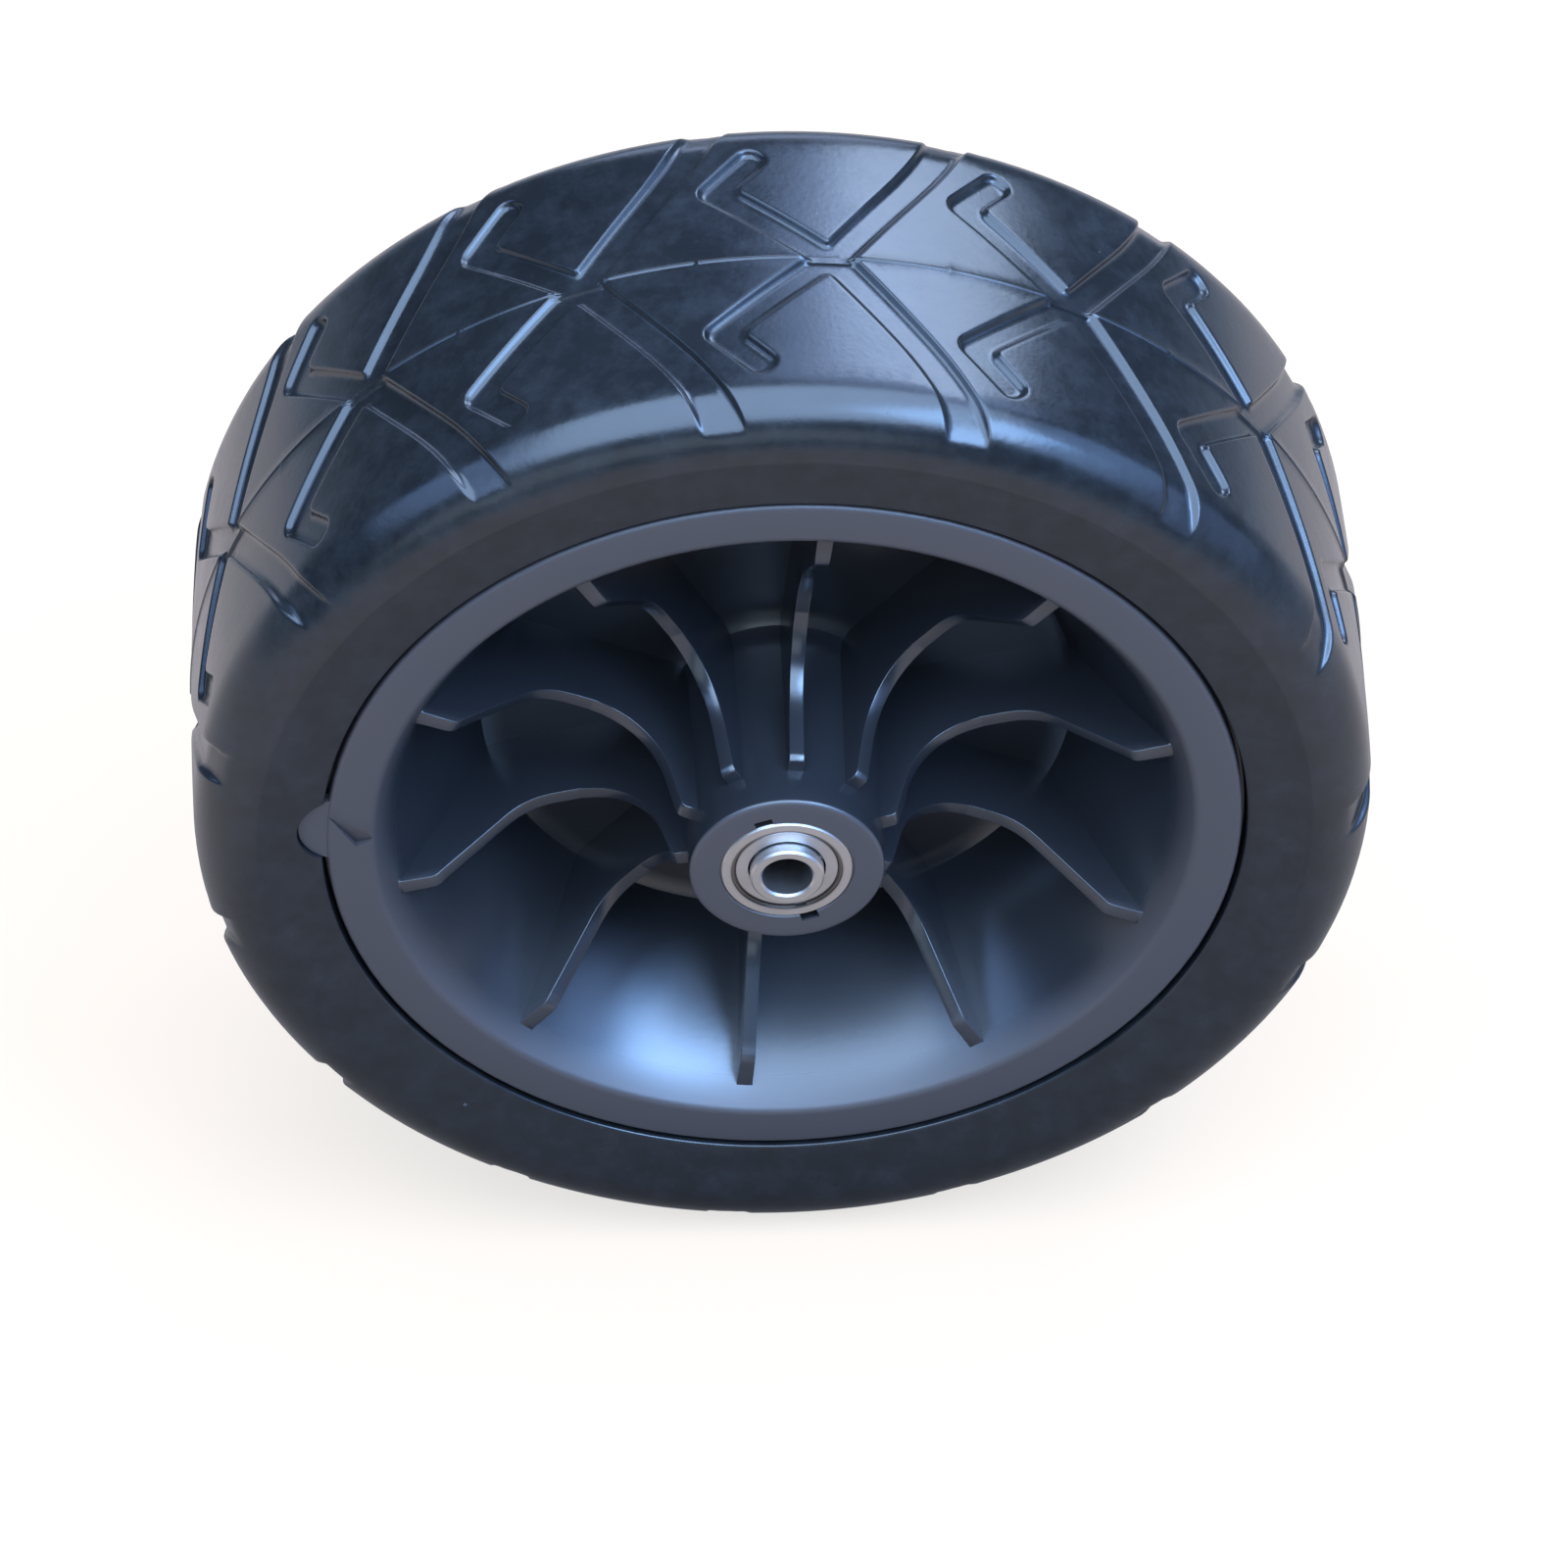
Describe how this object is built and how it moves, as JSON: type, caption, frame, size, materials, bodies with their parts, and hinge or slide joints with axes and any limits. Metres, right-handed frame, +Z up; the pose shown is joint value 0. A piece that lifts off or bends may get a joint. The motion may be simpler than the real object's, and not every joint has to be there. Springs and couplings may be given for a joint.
{
  "type": "solid polyurethane wheel",
  "caption": "Upright wheel with a solid polyurethane tyre, hooked groove tread, vaned dish-shaped plastic hub and shielded ball bearings for a plain axle.",
  "frame": {"origin": "centre of the wheel on its axle line, halfway between its two faces", "axes": "the wheel stands upright and spins about +Y, the axle line; the face with the moulded lug looks along -Y, +Z is up, +X is to the right seen from that face"},
  "size_m": [0.232, 0.104, 0.232],
  "materials": {
    "tyre": "satin black moulded polyurethane",
    "hub": "satin dark grey moulded plastic",
    "ring_steel": "ground and polished bearing steel",
    "ball_steel": "polished bearing steel",
    "sheet_steel": "pressed bright sheet steel",
    "spacer": "plain drawn steel tube"
  },
  "bodies": {
    "axle_side": {"spacer_tube": "spacer", "front_inner_ring": "ring_steel", "rear_inner_ring": "ring_steel"},
    "wheel": {"tyre": "tyre", "hub": "hub", "front_outer_ring": "ring_steel", "front_outer_shield": "sheet_steel", "front_inner_shield": "sheet_steel", "front_outer_snap_ring": "sheet_steel", "front_inner_snap_ring": "sheet_steel", "rear_outer_ring": "ring_steel", "rear_outer_shield": "sheet_steel", "rear_inner_shield": "sheet_steel", "rear_outer_snap_ring": "sheet_steel", "rear_inner_snap_ring": "sheet_steel"},
    "front_cage": {"front_balls": "ball_steel", "front_cage_outer_half": "sheet_steel", "front_cage_inner_half": "sheet_steel", "front_cage_rivets": "sheet_steel"},
    "rear_cage": {"rear_balls": "ball_steel", "rear_cage_outer_half": "sheet_steel", "rear_cage_inner_half": "sheet_steel", "rear_cage_rivets": "sheet_steel"}
  },
  "joints": [
    {"name": "wheel_spin", "type": "hinge", "parent": "axle_side", "child": "wheel", "pos_m": [0, 0, 0], "axis": [0, 1, 0], "continuous": true},
    {"name": "front_cage_spin", "type": "hinge", "parent": "axle_side", "child": "front_cage", "pos_m": [0, -0.046, 0], "axis": [0, 1, 0], "continuous": true},
    {"name": "rear_cage_spin", "type": "hinge", "parent": "axle_side", "child": "rear_cage", "pos_m": [0, 0.046, 0], "axis": [0, 1, 0], "continuous": true}
  ],
  "couplings": [
    {"joint": "front_cage_spin", "follows": "wheel_spin", "ratio": 0.6323},
    {"joint": "rear_cage_spin", "follows": "wheel_spin", "ratio": 0.6323}
  ]
}
